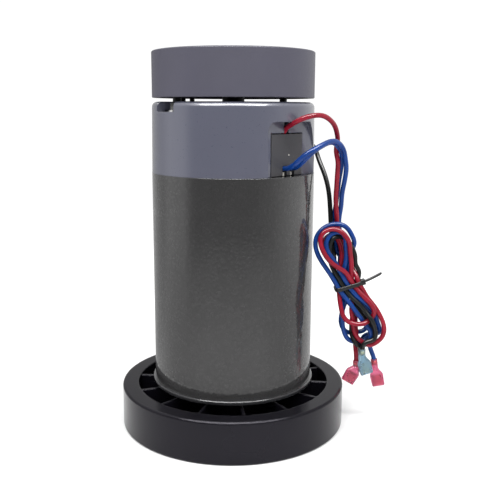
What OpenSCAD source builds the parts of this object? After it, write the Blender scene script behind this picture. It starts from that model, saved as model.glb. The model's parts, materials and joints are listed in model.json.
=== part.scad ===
// Brushed permanent-magnet DC motor, standing on its fan flywheel.
// Millimetres. Origin on the shaft axis at the flywheel's underside, +Z up along the shaft.

/* [Can] */
// Outside diameter of the can
can_d = 102; // [100:1:104]
// Wall thickness of the can
can_wall = 5; // [4:0.5:6]
// Length of the can
can_len = 133; // [130:1:140]

/* [Flywheel] */
// Outside diameter of the fan flywheel
wheel_d = 145; // [140:1:150]
// Height of the fan flywheel
wheel_h = 26.6; // [25:0.1:28]
// Width of the heavy rim
wheel_rim_w = 10.2; // [9:0.1:12]
// Number of fan ribs
rib_count = 14; // [10:1:20]
// Thickness of a rib
rib_t = 1.6; // [1.2:0.1:2.5]
// Diameter of the shallow register that centres a belt pulley
pulley_seat_d = 80; // [76:1:84]
// Depth of that register
pulley_seat_depth = 2; // [1.5:0.5:3]

/* [End bells] */
// Height of the rear end bell
rear_bell_h = 43.1; // [42:0.1:46]
// Outside diameter of the rear end bell at its foot
rear_bell_d = 101.8; // [100:0.1:102]
// Side wall of the rear end bell
bell_wall = 4.5; // [4:0.1:5]
// Thickness of the front bell's flange
flange_t = 2.2; // [2:0.1:3]
// Outside diameter of the front bell's flange
flange_d = 104.6; // [104:0.1:106]
// Gap between flywheel and front bell
wheel_gap = 1.8; // [1.5:0.1:3]

/* [Drum] */
// Outside diameter of the drum flywheel
drum_d = 100.6; // [98:0.1:102]
// Height of the drum flywheel
drum_h = 27.7; // [26:0.1:30]
// Gap between rear end bell and drum
drum_gap = 2.4; // [2:0.1:3]

/* [Brush gear] */
// Angle of the front brush block, from the front towards the right
brush_az = 46; // [42:1:50]
// Width of a brush block
block_w = 28; // [26:0.1:29]
// Height of a brush block
block_h = 24.4; // [23:0.1:25]
// Distance of the block's face from the axis
block_face = 44; // [43.5:0.1:45]
// Travel of a brush against its spring
brush_travel = 2.5; // [1:0.1:2.5]

/* [Rotor] */
// Radius of the armature core
core_r = 36.2; // [35:0.1:36.5]
// Number of armature slots
slot_count = 12; // [8:1:14]
// Number of commutator bars
bar_count = 24; // [16:1:28]
// Radius of the commutator
commutator_r = 20; // [19:0.1:20]

/* [Leads] */
// Diameter of a lead
lead_d = 3; // [2.8:0.1:3.2]

/* [Hidden] */

smooth = 128;
medium = 64;
small = 32;
bite = 1;

// Heights of the stack, from the floor up
flange_z = wheel_h + wheel_gap;
can_z = flange_z + flange_t;
bell_z = can_z + can_len;
bell_top = bell_z + rear_bell_h;
drum_z = bell_top + drum_gap;
drum_top = drum_z + drum_h;

can_r = can_d / 2;
can_bore_r = can_r - can_wall;
wheel_r = wheel_d / 2;
wheel_bore_r = 8.5;
hub_r = 30;

// Tie rods stand opposite each other, between the brushes
rod_az = [-50, 130];
rod_ring_r = 43;
rod_r = 2.45;
rod_hole_r = 2.75;
rod_head_r = 4.25;
rod_head_h = 1.7;
notch_depth = 6;
rod_seat_z = bell_top - notch_depth;
rod_end_z = bell_top + 3.4;
nut_h = 4;
washer_t = 1;
nut_r = 4.6;

// Bearings: [bore radius, outer radius, width, pitch radius, ball radius]
front_bearing = [8.5, 20, 12, 14.25, 3.37];
rear_bearing = [7.5, 17.5, 11, 12.5, 2.97];
front_bearing_z = can_z + 1.4;
rear_bearing_z = bell_top - 17;
ball_count = 8;
groove_gap = 0.12;

brush_z = bell_z + 1 + block_h / 2;
block_foot = bell_z + 0.2;
block_inner = 23.5;
guide_z_half = 6.8;
guide_y_half = 4.3;
guide_len = 18.2;
brush_len = 18;
brush_gap = 0.3;
brush_h = 12;
brush_w = 7;
commutator_z = bell_z - 3.4;
commutator_top = rear_bearing_z - 3.5;
wire_slot_w = 4;
wire_slot_y = -0.6;
blue_slots = [-1.9, 4.9];
blue_slot_w = 4;
blue_slot_h = 5.8;
pin_h = 2;
screw_places = [[42, -4], [42, 4]];

core_z = can_z + 27;
core_len = 82;
winding_r = 34;
shaft_r = 9;

// Lead routes: points on each wire's centre line, from its exit to the hank
red_route = [[29, -29, 187.6], [30, -30, 189.6], [30.8, -31.5, 191.4], [33, -35, 193.4],
    [38, -39, 196.5], [44, -40.5, 198.6], [51, -37, 199], [57, -31, 196], [61, -25, 191],
    [63, -20, 183], [64, -17, 174], [64, -15, 165],
    [64, -13, 156], [64, -11, 147], [65, -9, 139], [66, -8, 128]];
blue_left_route = [[28, -30.2, 168], [31.5, -33.6, 168.2], [35, -37.6, 170.4], [39, -40.8, 174.6],
    [45, -42, 179], [51, -39, 182], [57, -33, 184], [62, -27, 183], [66, -21, 178],
    [69, -17, 169], [69, -13, 160], [68, -10, 151], [68, -7, 142], [68, -5, 128]];
blue_right_route = [[32.8, -25.5, 168], [36.3, -28.8, 168], [40.6, -33, 170.4], [45.6, -36.4, 175],
    [51, -36.4, 179.6], [56, -33, 182], [60, -28, 181.4], [63, -22, 178], [66, -16, 170],
    [65, -12, 161], [66, -8, 151], [65, -5, 142], [64, -4, 128]];
black_route = [[-29, 29, 187.6], [-30, 30, 189.8], [-33, 34.5, 192], [-37, 42, 190], [-35, 49, 187],
    [-27, 54, 184], [-17, 57, 181], [-6, 59, 179], [6, 59, 178], [18, 57, 178],
    [29, 52, 179], [39, 44, 180], [47, 33, 181], [51, 21, 180], [53, 10, 177],
    [55, 4, 170], [58, 0, 162], [60, -3, 154], [61, -5, 146], [61, -5, 128]];
red_tail = [[79, -12, 62], [79.5, -12.3, 55], [79.6, -12.4, 46]];
blue_left_tail = [[87, -14, 56], [89.5, -13.2, 49], [91.6, -12.6, 41.5]];
blue_right_tail = [[83, -8, 58], [81.5, -6, 53], [80.8, -5.6, 47]];
black_tail = [[84.5, -16.6, 60], [83.2, -17.4, 55], [82.7, -17.6, 49]];

// The hank hangs leaning outwards, pinched at its tie
tie_at = [72.8, -14, 93];
hank_tilt = 17.5;
hank_t = 13;
neck_w = 17;
neck_t = 10.6;
neck_len = 7;
lobe_steps = 28;

// Insulated spade terminals
barrel_r = 2.4;
barrel_bore = 1.45;
shoulder = 1.8;
body_len = 11.5;
body_t = 3.4;
sleeve_wall = 0.7;

// Each terminal: [wire entry, lean to the right, lean forward, turn, width, barrel length, bend]
red_hang = [[79.6, -12.4, 48.7], 3, 0, 12, 9, 10.5, -34];
blue_left_hang = [[91.4, -12.6, 43.6], 9, 0, -8, 8.4, 5.5, 4];
black_hang = [[82.6, -17.8, 52], 3, 0, 6, 9.4, 5.5, 14];
blue_right_hang = [[80.8, -5.4, 50], 8, -4, 20, 9, 5.5, 0];

// Turns child geometry so that +X points outwards at an azimuth
module at_azimuth(az) {
    rotate([0, 0, az - 90])
        children();
}

module ring(r_out, r_in, h, z = 0) {
    translate([0, 0, z])
        difference() {
            cylinder(r = r_out, h = h, $fn = smooth);
            translate([0, 0, -bite])
                cylinder(r = r_in, h = h + 2 * bite, $fn = smooth);
        }
}

module block_at(corner, size) {
    translate(corner)
        cube(size);
}

// ---------- can and magnets ----------

pad_r = 9;
pad_out = 57;
pad_hole_r = 3.4;
pad_hole_depth = 8.5;
pad_spacing = 80;
pad_z = can_z + can_len / 2;

module motor_can() {
    color("dimgray")
        difference() {
            union() {
                ring(can_r, can_bore_r, can_len, can_z);
                for (side = [-1, 1])
                    translate([0, pad_out, pad_z + side * pad_spacing / 2])
                        rotate([90, 0, 0])
                            cylinder(r = pad_r, h = pad_out - can_bore_r - 1.5, $fn = medium);
            }
            for (side = [-1, 1])
                translate([0, pad_out + bite, pad_z + side * pad_spacing / 2])
                    rotate([90, 0, 0])
                        cylinder(r = pad_hole_r, h = pad_hole_depth + bite, $fn = medium);
        }
}

magnet_span = 124;
magnet_z = can_z + 20;
magnet_len = 96;
magnet_r = 37.2;

module magnet() {
    translate([0, 0, magnet_z])
        intersection() {
            ring(can_bore_r - 0.05, magnet_r, magnet_len);
            linear_extrude(magnet_len)
                polygon([[0, 0], [80 * cos(magnet_span / 2), -80 * sin(magnet_span / 2)],
                    [90, -60], [90, 60],
                    [80 * cos(magnet_span / 2), 80 * sin(magnet_span / 2)]]);
        }
}

module magnet_front() {
    color("darkslategray")
        at_azimuth(brush_az)
            magnet();
}

module magnet_back() {
    color("darkslategray")
        at_azimuth(brush_az + 180)
            magnet();
}

// ---------- front end bell ----------

spigot_h = 9;
front_boss_r = 25;
front_plate_t = 5;
front_boss_top = front_bearing_z + front_bearing[2] + 1;
vent_r = 6.5;
vent_ring_r = 33.5;
vent_count = 8;

module front_end_bell() {
    color("silver")
        difference() {
            union() {
                translate([0, 0, flange_z])
                    cylinder(d = flange_d, h = flange_t, $fn = smooth);
                translate([0, 0, can_z])
                    cylinder(r = can_bore_r - 0.1, h = spigot_h, $fn = smooth);
                translate([0, 0, flange_z])
                    cylinder(r = front_boss_r, h = front_boss_top - flange_z, $fn = smooth);
            }
            // hollow between boss and spigot
            difference() {
                translate([0, 0, flange_z + front_plate_t])
                    cylinder(r = can_bore_r - 3.6, h = spigot_h + 9, $fn = smooth);
                translate([0, 0, flange_z])
                    cylinder(r = front_boss_r, h = 60, $fn = smooth);
                for (az = rod_az)
                    at_azimuth(az)
                        translate([rod_ring_r - 1, 0, flange_z])
                            cylinder(r = 6.4, h = 60, $fn = medium);
            }
            // bearing seat and shaft hole
            translate([0, 0, front_bearing_z])
                cylinder(r = front_bearing[1], h = 40, $fn = smooth);
            translate([0, 0, flange_z - bite])
                cylinder(r = 15, h = 40, $fn = smooth);
            for (az = rod_az)
                at_azimuth(az)
                    translate([rod_ring_r, 0, flange_z - bite]) {
                        cylinder(r = rod_hole_r, h = 60, $fn = small);
                        cylinder(r = rod_head_r + 0.35, h = bite + 0.4 + rod_head_h, $fn = small);
                    }
            for (i = [0:vent_count - 1])
                at_azimuth(rod_az[0] + 22.5 + i * 360 / vent_count)
                    translate([vent_ring_r, 0, flange_z - bite])
                        cylinder(r = vent_r, h = 20, $fn = small);
        }
}

// ---------- rear end bell ----------

bell_r = rear_bell_d / 2;
bell_top_r = bell_r - 0.5;
bell_fillet = 3.2;
bell_plate_t = 5;
rear_boss_r = 23;
pocket_plane = 43.8;
pocket_left = -19.5;
pocket_top = bell_z + 31.7;
pocket_corner = 5;
shaft_hole_r = 9;
spigot_drop = 4;

module bell_profile() {
    rotate_extrude($fn = smooth)
        polygon(concat([[0, bell_z], [bell_r, bell_z]],
            [for (a = [0:15:90]) [bell_top_r - bell_fillet + bell_fillet * cos(a),
                bell_top - bell_fillet + bell_fillet * sin(a)]],
            [[0, bell_top]]));
}

// Outline of the flat pocket, in the plane of the block's face (x across, y up)
module pocket_outline() {
    left = pocket_left + pocket_corner;
    polygon(concat([[pocket_left, bell_z - bite], [26.5, bell_z - bite], [26, bell_z + 11],
            [24.6, bell_z + 17], [22.8, bell_z + 23], [20.4, bell_z + 27.8], [17, pocket_top]],
        [for (a = [90:15:180]) [left + pocket_corner * cos(a),
            pocket_top - pocket_corner + pocket_corner * sin(a)]]));
}

module pocket_cut() {
    translate([pocket_plane, 0, 0])
        rotate([90, 0, 90])
            linear_extrude(12)
                pocket_outline();
    // window for the block, and the slot for its lead
    block_at([block_inner - 2, -block_w / 2 - 0.4, bell_z - bite],
        [40, block_w + 0.5, block_h + 0.8 + bite]);
    block_at([30, wire_slot_y - wire_slot_w / 2, bell_z], [30, wire_slot_w, pocket_top - bell_z]);
}

notch_from = -64;
notch_to = -43;
notch_inner_r = 38;

module notch_cut(az_from, az_to) {
    translate([0, 0, bell_top - notch_depth])
        linear_extrude(notch_depth + bite)
            polygon(concat(
                [for (a = [az_from:3.5:az_to]) [notch_inner_r * sin(a), -notch_inner_r * cos(a)]],
                [for (a = [az_to:-3.5:az_from]) [60 * sin(a), -60 * cos(a)]]));
}

module rear_end_bell() {
    color("slategray")
        difference() {
            union() {
                bell_profile();
                translate([0, 0, bell_z - spigot_drop])
                    cylinder(r = can_bore_r - 0.1, h = spigot_drop + bite, $fn = smooth);
            }
            // inside of the bell, leaving the boss, the rod posts and the pads behind the pockets
            difference() {
                union() {
                    translate([0, 0, bell_z - spigot_drop - bite])
                        cylinder(r = can_bore_r - 2.6, h = spigot_drop + 4, $fn = smooth);
                    translate([0, 0, bell_z + 2])
                        cylinder(r = bell_r - bell_wall - 0.8, h = rear_bell_h - bell_plate_t - 2,
                            $fn = smooth);
                }
                translate([0, 0, rear_bearing_z - 1.5])
                    cylinder(r = rear_boss_r, h = 30, $fn = smooth);
                for (az = rod_az)
                    at_azimuth(az)
                        translate([rod_ring_r - 0.5, 0, bell_z - 2])
                            cylinder(r = 6.4, h = 60, $fn = medium);
                for (az = [brush_az, brush_az + 180])
                    at_azimuth(az)
                        block_at([39.6, -22, bell_z - 2], [10, 47, 60]);
            }
            for (az = [brush_az, brush_az + 180])
                at_azimuth(az)
                    pocket_cut();
            for (az = rod_az)
                at_azimuth(az)
                    translate([rod_ring_r, 0, 0]) {
                        translate([0, 0, bell_z - spigot_drop - bite])
                            cylinder(r = rod_hole_r, h = 60, $fn = small);
                        translate([0, 0, rod_seat_z])
                            cylinder(r = 5.4, h = 20, $fn = small);
                    }
            notch_cut(notch_from, notch_to);
            notch_cut(notch_from + 180, notch_to + 180);
            translate([0, 0, rear_bearing_z])
                cylinder(r = rear_bearing[1], h = rear_bearing[2] + 0.8, $fn = smooth);
            translate([0, 0, rear_bearing_z - 10])
                cylinder(r = rear_bearing[1], h = 11, $fn = smooth);
            translate([0, 0, bell_top - 20])
                cylinder(r = shaft_hole_r, h = 30, $fn = medium);
            // clearance holes for the two block screws
            at_azimuth(brush_az + 180)
                for (place = screw_places)
                    translate([place[0], place[1], bell_top - 20])
                        cylinder(r = 1.3, h = 30, $fn = small);
        }
}

// ---------- tie rods ----------

module tie_rods() {
    color("gray")
        for (az = rod_az)
            at_azimuth(az)
                translate([rod_ring_r, 0, 0]) {
                    translate([0, 0, flange_z + 0.4])
                        cylinder(r = rod_head_r, h = rod_head_h, $fn = small);
                    translate([0, 0, flange_z + 0.4])
                        cylinder(r = rod_r, h = rod_end_z - flange_z - 0.4, $fn = small);
                }
}

module tie_rod_washers() {
    color("lightgray")
        for (az = rod_az)
            at_azimuth(az)
                translate([rod_ring_r, 0, 0])
                    ring(5, rod_r + 0.1, washer_t, rod_seat_z);
}

module tie_rod_nuts() {
    color("lightgray")
        for (az = rod_az)
            at_azimuth(az)
                translate([rod_ring_r, 0, rod_seat_z + washer_t])
                    difference() {
                        cylinder(r = nut_r, h = nut_h, $fn = 6);
                        translate([0, 0, -bite])
                            cylinder(r = rod_r + 0.02, h = nut_h + 2 * bite, $fn = small);
                    }
}

// ---------- brush gear ----------

module brush_block(slots) {
    difference() {
        block_at([block_inner, -block_w / 2, block_foot],
            [block_face - block_inner, block_w, block_h]);
        // socket for the brass guide
        block_at([block_inner - bite, -guide_y_half - 0.1, brush_z - guide_z_half - 0.1],
            [guide_len + 0.6 + bite, 2 * guide_y_half + 0.2, 2 * guide_z_half + 0.2]);
        if (slots)
            for (y = blue_slots)
                block_at([block_face - 4, y - blue_slot_w / 2, block_foot - bite],
                    [6, blue_slot_w, blue_slot_h + bite]);
        if (!slots)
            for (place = screw_places)
                translate([place[0], place[1], block_foot + block_h - 3])
                    cylinder(r = 1.15, h = 5, $fn = small);
    }
}

module brush_block_front() {
    color("darkslategray")
        at_azimuth(brush_az)
            brush_block(true);
}

module brush_block_back() {
    color("darkslategray")
        at_azimuth(brush_az + 180)
            brush_block(false);
}

module brush_guide() {
    difference() {
        block_at([block_inner + 0.5, -guide_y_half, brush_z - guide_z_half],
            [guide_len, 2 * guide_y_half, 2 * guide_z_half]);
        block_at([block_inner - bite, -brush_w / 2 - 0.1, brush_z - brush_h / 2 - 0.1],
            [guide_len - 0.3 + bite, brush_w + 0.2, brush_h + 0.2]);
    }
}

module brush_guide_front() {
    color("goldenrod")
        at_azimuth(brush_az)
            brush_guide();
}

module brush_guide_back() {
    color("goldenrod")
        at_azimuth(brush_az + 180)
            brush_guide();
}

brush_bore_r = 2.7;
brush_bore_len = 8;
brush_back = commutator_r + brush_gap + brush_len;

module brush() {
    difference() {
        block_at([commutator_r - 1, -brush_w / 2, brush_z - brush_h / 2],
            [brush_back - commutator_r + 1, brush_w, brush_h]);
        translate([0, 0, brush_z - brush_h])
            cylinder(r = commutator_r + brush_gap, h = 2 * brush_h, $fn = smooth);
        translate([brush_back - brush_bore_len, 0, brush_z])
            rotate([0, 90, 0])
                cylinder(r = brush_bore_r, h = brush_bore_len + bite, $fn = small);
    }
}

module brush_front() {
    color("dimgray")
        at_azimuth(brush_az)
            brush();
}

module brush_back() {
    color("dimgray")
        at_azimuth(brush_az + 180)
            brush();
}

spring_turns = 6;
spring_r = 1.9;
spring_wire_r = 0.3;
spring_from = brush_back - brush_bore_len + brush_travel + 0.4;
spring_to = block_inner + 17.5;

module brush_spring() {
    steps = spring_turns * 12;
    translate([0, 0, brush_z])
        tube([for (i = [0:steps]) [spring_from + (spring_to - spring_from) * i / steps,
            spring_r * cos(i * 30), spring_r * sin(i * 30)]], spring_wire_r, 6);
}

module brush_spring_front() {
    color("silver")
        at_azimuth(brush_az)
            brush_spring();
}

module brush_spring_back() {
    color("silver")
        at_azimuth(brush_az + 180)
            brush_spring();
}

module brush_block_screws() {
    color("gray")
        at_azimuth(brush_az + 180)
            for (place = screw_places)
                translate([place[0], place[1], 0]) {
                    translate([0, 0, bell_top])
                        cylinder(r = 1.65, h = 2.9, $fn = small);
                    translate([0, 0, block_foot + block_h - 2.5])
                        cylinder(r = 1.05, h = bell_top - block_foot - block_h + 3, $fn = small);
                }
}

module block_pins() {
    color("gainsboro")
        at_azimuth(brush_az)
            for (y = blue_slots)
                translate([block_face - 1.4, y, block_foot])
                    cylinder(r = 0.8, h = pin_h, $fn = small);
}

module thermal_protector() {
    color("black")
        at_azimuth(brush_az)
            block_at([25, 15, bell_z + 4], [10, 5, 17]);
}

// ---------- bearings ----------

module bearing_outer(b, z) {
    translate([0, 0, z])
        rotate_extrude($fn = smooth)
            difference() {
                translate([b[3] + b[4] * 0.66, 0])
                    square([b[1] - b[3] - b[4] * 0.66, b[2]]);
                translate([b[3], b[2] / 2])
                    circle(r = b[4] + groove_gap, $fn = medium);
            }
}

module bearing_inner(b, z) {
    translate([0, 0, z])
        rotate_extrude($fn = smooth)
            difference() {
                translate([b[0], 0])
                    square([b[3] - b[4] * 0.66 - b[0], b[2]]);
                translate([b[3], b[2] / 2])
                    circle(r = b[4] + groove_gap, $fn = medium);
            }
}

module bearing_balls(b, z) {
    for (i = [0:ball_count - 1])
        rotate([0, 0, i * 360 / ball_count])
            translate([b[3], 0, z + b[2] / 2])
                sphere(r = b[4], $fn = small);
}

module bearing_cage(b, z) {
    difference() {
        ring(b[3] + 0.9, b[3] - 0.9, 2 * b[4] + 2, z + b[2] / 2 - b[4] - 1);
        for (i = [0:ball_count - 1])
            rotate([0, 0, i * 360 / ball_count])
                translate([b[3] - 4, 0, z + b[2] / 2])
                    rotate([0, 90, 0])
                        cylinder(r = b[4] + 0.12, h = 8, $fn = small);
    }
}

module front_bearing_outer() {
    color("silver")
        bearing_outer(front_bearing, front_bearing_z);
}

module front_bearing_inner() {
    color("silver")
        bearing_inner(front_bearing, front_bearing_z);
}

module front_bearing_balls() {
    color("white")
        bearing_balls(front_bearing, front_bearing_z);
}

module front_bearing_cage() {
    color("goldenrod")
        bearing_cage(front_bearing, front_bearing_z);
}

module rear_bearing_outer() {
    color("silver")
        bearing_outer(rear_bearing, rear_bearing_z);
}

module rear_bearing_inner() {
    color("silver")
        bearing_inner(rear_bearing, rear_bearing_z);
}

module rear_bearing_balls() {
    color("white")
        bearing_balls(rear_bearing, rear_bearing_z);
}

module rear_bearing_cage() {
    color("goldenrod")
        bearing_cage(rear_bearing, rear_bearing_z);
}

module wave_washer() {
    color("silver")
        ring(rear_bearing[1] - 0.4, rear_bearing[1] - 3.5, 0.6, rear_bearing_z + rear_bearing[2] + 0.1);
}

// ---------- rotor ----------

gap_shaft_r = 6.9;
drum_bore_r = 6;
drum_web_z = drum_z + 4;
drum_seat_z = drum_top - 12;
key_len = 14;
key_w = 5;
key_z = pulley_seat_depth + 9;

module rotor_shaft() {
    color("silver")
        difference() {
            rotate_extrude($fn = smooth)
                polygon([[0, pulley_seat_depth], [7.7, pulley_seat_depth],
                    [wheel_bore_r, pulley_seat_depth + 0.8],
                    [wheel_bore_r, front_bearing_z + front_bearing[2]],
                    [shaft_r + 2, front_bearing_z + front_bearing[2]],
                    [shaft_r + 2, front_bearing_z + front_bearing[2] + 3],
                    [shaft_r, front_bearing_z + front_bearing[2] + 3],
                    [shaft_r, rear_bearing_z],
                    [rear_bearing[0], rear_bearing_z],
                    [rear_bearing[0], rear_bearing_z + rear_bearing[2] + 0.8],
                    [gap_shaft_r, rear_bearing_z + rear_bearing[2] + 0.8],
                    [gap_shaft_r, drum_web_z],
                    [drum_bore_r - 0.02, drum_web_z],
                    [drum_bore_r - 0.02, drum_top - 3],
                    [drum_bore_r - 1, drum_top - 2],
                    [0, drum_top - 2]]);
            // tapped centre in the drive end
            translate([0, 0, pulley_seat_depth - bite])
                cylinder(r = 3.4, h = 20 + bite, $fn = small);
            // keyway for the flywheel
            block_at([wheel_bore_r - 2.5, -key_w / 2, key_z], [6, key_w, key_len]);
        }
}

module slot_shape(grow) {
    polygon([[18.5 - grow, -2.1 - grow], [32.6, -4.6 - grow], [34.4 + grow, -2.8],
        [34.4 + grow, 2.8], [32.6, 4.6 + grow], [18.5 - grow, 2.1 + grow]]);
}

module armature_core() {
    color("gray")
        translate([0, 0, core_z])
            linear_extrude(core_len)
                difference() {
                    circle(r = core_r, $fn = smooth);
                    circle(r = shaft_r, $fn = medium);
                    for (i = [0:slot_count - 1])
                        rotate(i * 360 / slot_count) {
                            slot_shape(0.3);
                            translate([32, -1.1])
                                square([6, 2.2]);
                        }
                }
}

winding_front = 11.5;
winding_rear = 14;

module armature_windings() {
    color("chocolate") {
        for (i = [0:slot_count - 1])
            rotate([0, 0, i * 360 / slot_count])
                translate([0, 0, core_z - 2])
                    linear_extrude(core_len + 4)
                        slot_shape(0);
        for (end = [[core_z - winding_front, winding_front - 0.3],
                [core_z + core_len + 0.3, winding_rear - 0.3]])
            translate([0, 0, end[0]])
                rotate_extrude($fn = smooth)
                    polygon([[shaft_r + 4, 0], [winding_r - 6, 0], [winding_r - 1, 2.5],
                        [winding_r, end[1] / 2], [winding_r - 1, end[1] - 2.5],
                        [winding_r - 6, end[1]], [shaft_r + 4, end[1]]]);
    }
}

riser_h = 3;

module commutator_bars() {
    color("peru")
        difference() {
            union() {
                ring(commutator_r, 13.6, commutator_top - commutator_z, commutator_z);
                ring(commutator_r + 2.5, 13.6, riser_h, commutator_z);
            }
            for (i = [0:bar_count - 1])
                rotate([0, 0, (i + 0.5) * 360 / bar_count])
                    block_at([0, -0.4, commutator_z - bite],
                        [40, 0.8, commutator_top - commutator_z + 2 * bite]);
        }
}

module commutator_hub() {
    color("saddlebrown")
        ring(13.5, shaft_r + 0.02, commutator_top - commutator_z + 1, commutator_z - 0.5);
}

module fan_flywheel() {
    rim_in = wheel_r - wheel_rim_w;
    web_top = pulley_seat_depth + 11;
    hub_top = wheel_h - 3;
    rib_top = wheel_h - 0.8;
    color("black")
        difference() {
            union() {
                rotate_extrude($fn = smooth)
                    polygon([[pulley_seat_d / 2, 0], [wheel_r - 0.8, 0], [wheel_r, 0.8],
                        [wheel_r, wheel_h - 1.2], [wheel_r - 0.35, wheel_h - 0.35],
                        [wheel_r - 1.2, wheel_h], [rim_in, wheel_h], [rim_in - 1, web_top],
                        [hub_r, web_top], [hub_r, hub_top], [12.5, hub_top],
                        [12.5, front_bearing_z], [wheel_bore_r + 0.02, front_bearing_z],
                        [wheel_bore_r + 0.02, pulley_seat_depth],
                        [pulley_seat_d / 2, pulley_seat_depth]]);
                for (i = [0:rib_count - 1])
                    at_azimuth(6.3 + i * 360 / rib_count)
                        block_at([hub_r - bite, -rib_t / 2, web_top - bite],
                            [rim_in - hub_r + bite + 0.5, rib_t, rib_top - web_top + bite]);
            }
            // keyway and the four tapped holes for a belt pulley
            block_at([0, -key_w / 2, pulley_seat_depth - bite],
                [wheel_bore_r + 2.5, key_w, wheel_h]);
            for (i = [0:3])
                rotate([0, 0, 45 + i * 90])
                    translate([25, 0, pulley_seat_depth - bite])
                        cylinder(r = 2.5, h = 14 + bite, $fn = small);
        }
}

module flywheel_key() {
    color("gray")
        block_at([wheel_bore_r - 2.45, -key_w / 2 + 0.03, key_z + 0.05],
            [4.9, key_w - 0.06, key_len - 0.1]);
}

module drum_flywheel() {
    color("slategray")
        rotate_extrude($fn = smooth)
            polygon([[drum_bore_r, drum_web_z], [46.6, drum_web_z], [46.6, drum_z],
                [drum_d / 2 - 0.4, drum_z], [drum_d / 2, drum_z + 0.4],
                [drum_d / 2, drum_top - 0.5], [drum_d / 2 - 0.5, drum_top],
                [40, drum_top], [38, drum_top - 9], [18, drum_top - 9],
                [16, drum_seat_z], [drum_bore_r, drum_seat_z]]);
}

module drum_washer() {
    color("silver")
        ring(11, drum_bore_r + 0.1, 1.4, drum_seat_z);
}

module drum_nut() {
    color("silver")
        translate([0, 0, drum_seat_z + 1.4])
            difference() {
                cylinder(r = 10.4, h = 6.5, $fn = 6);
                translate([0, 0, -bite])
                    cylinder(r = drum_bore_r, h = 10, $fn = medium);
            }
}

// ---------- leads ----------

function unit(v) = v / norm(v);

// Direction of a line of points at one of them
function heading(p, i) = unit(p[min(i + 1, len(p) - 1)] - p[max(i - 1, 0)]);

// Carries a side vector along the line, so that the tube doesn't twist
function carry(p, i, side) =
    let (t = heading(p, i), s = unit(side - t * (side * t)))
    i == len(p) - 1 ? [s] : concat([s], carry(p, i + 1, s));

// A closed tube of one radius along a line of points
module tube(p, r, sides) {
    first = abs(heading(p, 0)[2]) < 0.8 ? [0, 0, 1] : [1, 0, 0];
    across = carry(p, 0, first);
    points = [for (i = [0:len(p) - 1])
        let (s = across[i], u = cross(heading(p, i), s))
        for (k = [0:sides - 1])
            p[i] + r * (s * cos(k * 360 / sides) + u * sin(k * 360 / sides))];
    rings = len(p) - 1;
    faces = concat(
        [[for (k = [0:sides - 1]) k]],
        [for (i = [0:rings - 1], k = [0:sides - 1])
            let (a = i * sides + k, b = i * sides + (k + 1) % sides)
            [a, a + sides, b + sides, b]],
        [[for (k = [sides - 1:-1:0]) rings * sides + k]]);
    polyhedron(points, faces, convexity = 6);
}

module lead(route, tail) {
    tube(route, lead_d / 2, 8);
    tube(tail, lead_d / 2, 8);
}

module red_lead() {
    color("crimson")
        lead(red_route, red_tail);
}

module black_lead() {
    color("black")
        lead(black_route, black_tail);
}

module blue_lead_left() {
    color("royalblue")
        lead(blue_left_route, blue_left_tail);
}

module blue_lead_right() {
    color("royalblue")
        lead(blue_right_route, blue_right_tail);
}

// Half of the hank's outline: a teardrop lobe, wide near its round end
function lobe(reach, left, right) = [for (i = [1:lobe_steps - 1])
    let (turn = i * 360 / lobe_steps, out = (1 - cos(turn)) / 2)
    [(turn < 180 ? right : left) * sin(turn) * pow(out, 0.5) * 1.3
        + (turn < 180 ? 1 : -1) * neck_w / 2 * (1 - out), reach * out]];

module at_tie() {
    translate(tie_at)
        rotate([0, -hank_tilt, 0])
            children();
}

module lead_hank() {
    color("midnightblue")
        at_tie() {
            rotate([90, 0, 0]) {
                translate([0, 0, -hank_t / 2])
                    linear_extrude(hank_t)
                        translate([0, neck_len / 2])
                            polygon(lobe(39, 12, 10.6));
                translate([0, 0, -hank_t / 2])
                    linear_extrude(hank_t)
                        translate([0, -neck_len / 2])
                            polygon(lobe(-37.5, 11.5, 13));
            }
            translate([-neck_w / 2, -neck_t / 2, -neck_len / 2 - 1])
                cube([neck_w, neck_t, neck_len + 2]);
        }
}

tie_band_w = 2.6;
tie_band_t = 1.1;

module cable_tie() {
    color("black")
        at_tie() {
            difference() {
                translate([-neck_w / 2 - tie_band_t, -neck_t / 2 - tie_band_t, -tie_band_w / 2])
                    cube([neck_w + 2 * tie_band_t, neck_t + 2 * tie_band_t, tie_band_w]);
                translate([-neck_w / 2, -neck_t / 2, -tie_band_w])
                    cube([neck_w, neck_t, 2 * tie_band_w]);
            }
            translate([neck_w / 2 + 0.3, -4.5, -2.2])
                cube([3.6, 4.8, 4.4]);
            translate([neck_w / 2 + 3, -3.6, -0.9])
                rotate([0, -8, 0])
                    cube([13, 2.4, 1]);
        }
}

// Hangs child geometry from a wire entry, mouth downwards
module hang(place) {
    translate(place[0])
        rotate([place[2], -place[1], 0])
            children();
}

// Turns the flat body about the neck of its barrel
module from_neck(place) {
    translate([0, 0, -place[5]])
        rotate([0, -place[6], place[3]])
            children();
}

// The moulded sleeve: a round barrel on the wire and a flat body with a mouth
module spade_sleeve(place) {
    half = place[4] / 2;
    hang(place)
        difference() {
            union() {
                translate([0, 0, -place[5] - shoulder])
                    cylinder(r = barrel_r, h = place[5] + shoulder, $fn = small);
                from_neck(place)
                    rotate([90, 0, 0])
                        translate([0, 0, -body_t / 2])
                            linear_extrude(body_t)
                                polygon([[-1.9, 0.8], [1.9, 0.8], [half, -shoulder],
                                    [half, -body_len], [-half, -body_len], [-half, -shoulder]]);
            }
            translate([0, 0, -4])
                cylinder(r = barrel_bore, h = 5, $fn = small);
            from_neck(place)
                block_at([-half + sleeve_wall, -body_t / 2 + sleeve_wall, -body_len - bite],
                    [2 * (half - sleeve_wall), body_t - 2 * sleeve_wall, body_len - 2 + bite]);
        }
}

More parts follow.
